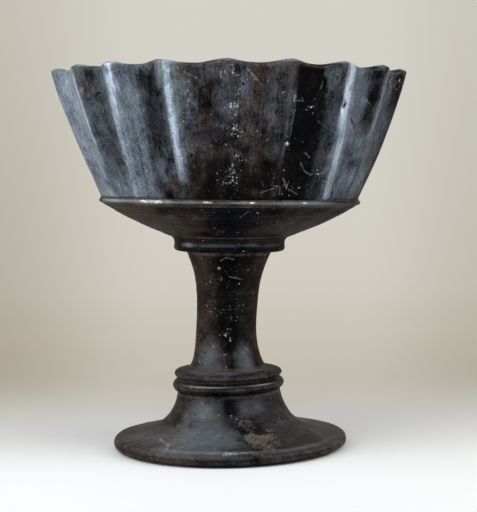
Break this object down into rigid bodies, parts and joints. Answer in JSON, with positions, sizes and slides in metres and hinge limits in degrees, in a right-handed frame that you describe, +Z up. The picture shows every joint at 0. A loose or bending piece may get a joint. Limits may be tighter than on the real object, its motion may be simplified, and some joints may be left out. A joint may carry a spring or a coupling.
{
  "type": "stemmed cup",
  "caption": "Stemmed drinking cup of black burnished clay: a deep fluted bowl with a scalloped lip on a waisted hollow stem with rings, over a spreading trumpet foot.",
  "frame": {"origin": "middle of the ring that the foot rests on, at the bottom of the cup", "axes": "+Z up along the stem's axis, -Y is the side that faces the camera, with the first ridge of the wall"},
  "size_m": [0.1587, 0.1582, 0.168],
  "materials": {
    "burnished_black_clay": "burnished, soft sheen, unglazed",
    "brown_black_clay": "burnished, worn, unglazed",
    "luting_slip": "matt fired slip"
  },
  "bodies": {
    "root": {"foot": "brown_black_clay", "foot_slip_bed": "luting_slip", "lower_stem_ring": "brown_black_clay", "upper_stem_ring": "brown_black_clay", "stem": "brown_black_clay", "stem_slip_bed": "luting_slip", "stem_collar": "brown_black_clay", "bowl_dish": "brown_black_clay", "dish_cordon": "brown_black_clay", "wall_slip_bed": "luting_slip", "fluted_wall": "burnished_black_clay"}
  },
  "joints": []
}
